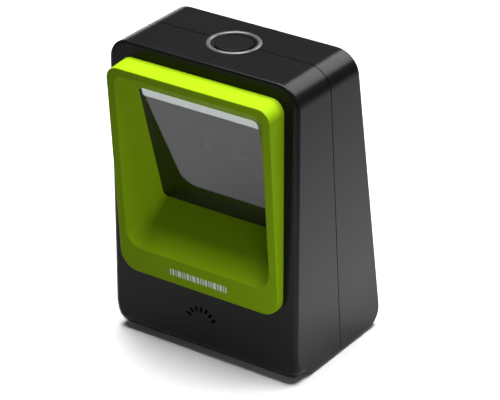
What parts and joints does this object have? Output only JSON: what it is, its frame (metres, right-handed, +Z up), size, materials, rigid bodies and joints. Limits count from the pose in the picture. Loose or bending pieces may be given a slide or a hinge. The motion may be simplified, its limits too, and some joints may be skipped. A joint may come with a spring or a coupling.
{
  "type": "presentation barcode scanner",
  "caption": "Upright counter-top barcode scanner with a coloured hood around a tilted window, a ringed trigger button on top and a socket at the back.",
  "frame": {"origin": "on the counter, under the middle of the object's box", "axes": "+Z up, the scan window faces -Y, +X to the right seen from the front"},
  "size_m": [0.1, 0.0814, 0.1464],
  "materials": {
    "casing_black": "fine moulded texture",
    "hood_green": "satin moulded colour",
    "print_grey": "pad print",
    "window_clear": "polished, tinted",
    "lens_coated": "coated",
    "seal_black": "closed-cell foam",
    "foot_rubber": "moulded rubber",
    "inner_black": "matt black",
    "diffuser_white": "milky",
    "board_green": "solder mask",
    "led_body": "moulded",
    "chip_black": "epoxy",
    "aimer_red": "tinted",
    "bracket_steel": "zinc plated",
    "screw_steel": "zinc plated",
    "screw_black": "black oxide",
    "ballast_steel": "rolled",
    "contact_gold": "plated",
    "cone_paper": "pressed paper",
    "cable_white": "ribbon",
    "lead_red": "insulation",
    "ring_grey": "silvered light guide",
    "cap_black": "satin black"
  },
  "bodies": {
    "casing": {"front_shell": "casing_black", "rear_shell": "casing_black", "hood_bezel": "hood_green", "rim_mark": "print_grey", "window_glass": "window_clear", "window_gasket": "seal_black", "light_shroud": "inner_black", "light_diffuser": "diffuser_white", "led_board": "board_green", "window_leds": "led_body", "engine_bracket": "bracket_steel", "engine_housing": "inner_black", "lens_barrel": "inner_black", "engine_lens": "lens_coated", "aimer": "aimer_red", "engine_leds": "led_body", "engine_board": "board_green", "engine_cable": "cable_white", "led_cable": "cable_white", "button_cable": "cable_white", "button_ring": "ring_grey", "button_board": "board_green", "switch_body": "inner_black", "ring_leds": "led_body", "main_board": "board_green", "processor_shield": "bracket_steel", "board_parts": "chip_black", "cable_socket": "inner_black", "socket_contacts": "contact_gold", "speaker_frame": "bracket_steel", "speaker_cone": "cone_paper", "speaker_gasket": "seal_black", "speaker_clip": "bracket_steel", "speaker_leads": "lead_red", "ballast_plate": "ballast_steel", "rubber_feet": "foot_rubber", "case_screws": "screw_black", "bezel_screws": "screw_steel", "shroud_screws": "screw_steel", "bracket_screws": "screw_steel", "engine_screws": "screw_steel", "board_screws": "screw_steel", "button_screws": "screw_steel", "speaker_screws": "screw_steel", "ballast_screws": "screw_steel"},
    "button": {"button_cap": "cap_black", "switch_plunger": "contact_gold"}
  },
  "joints": [
    {"name": "trigger_press", "type": "slide", "parent": "casing", "child": "button", "axis": [0, 0, -1], "range_m": [0, 0.0008], "stiffness_N_per_m": 1200, "springref_m": -0.0004}
  ]
}
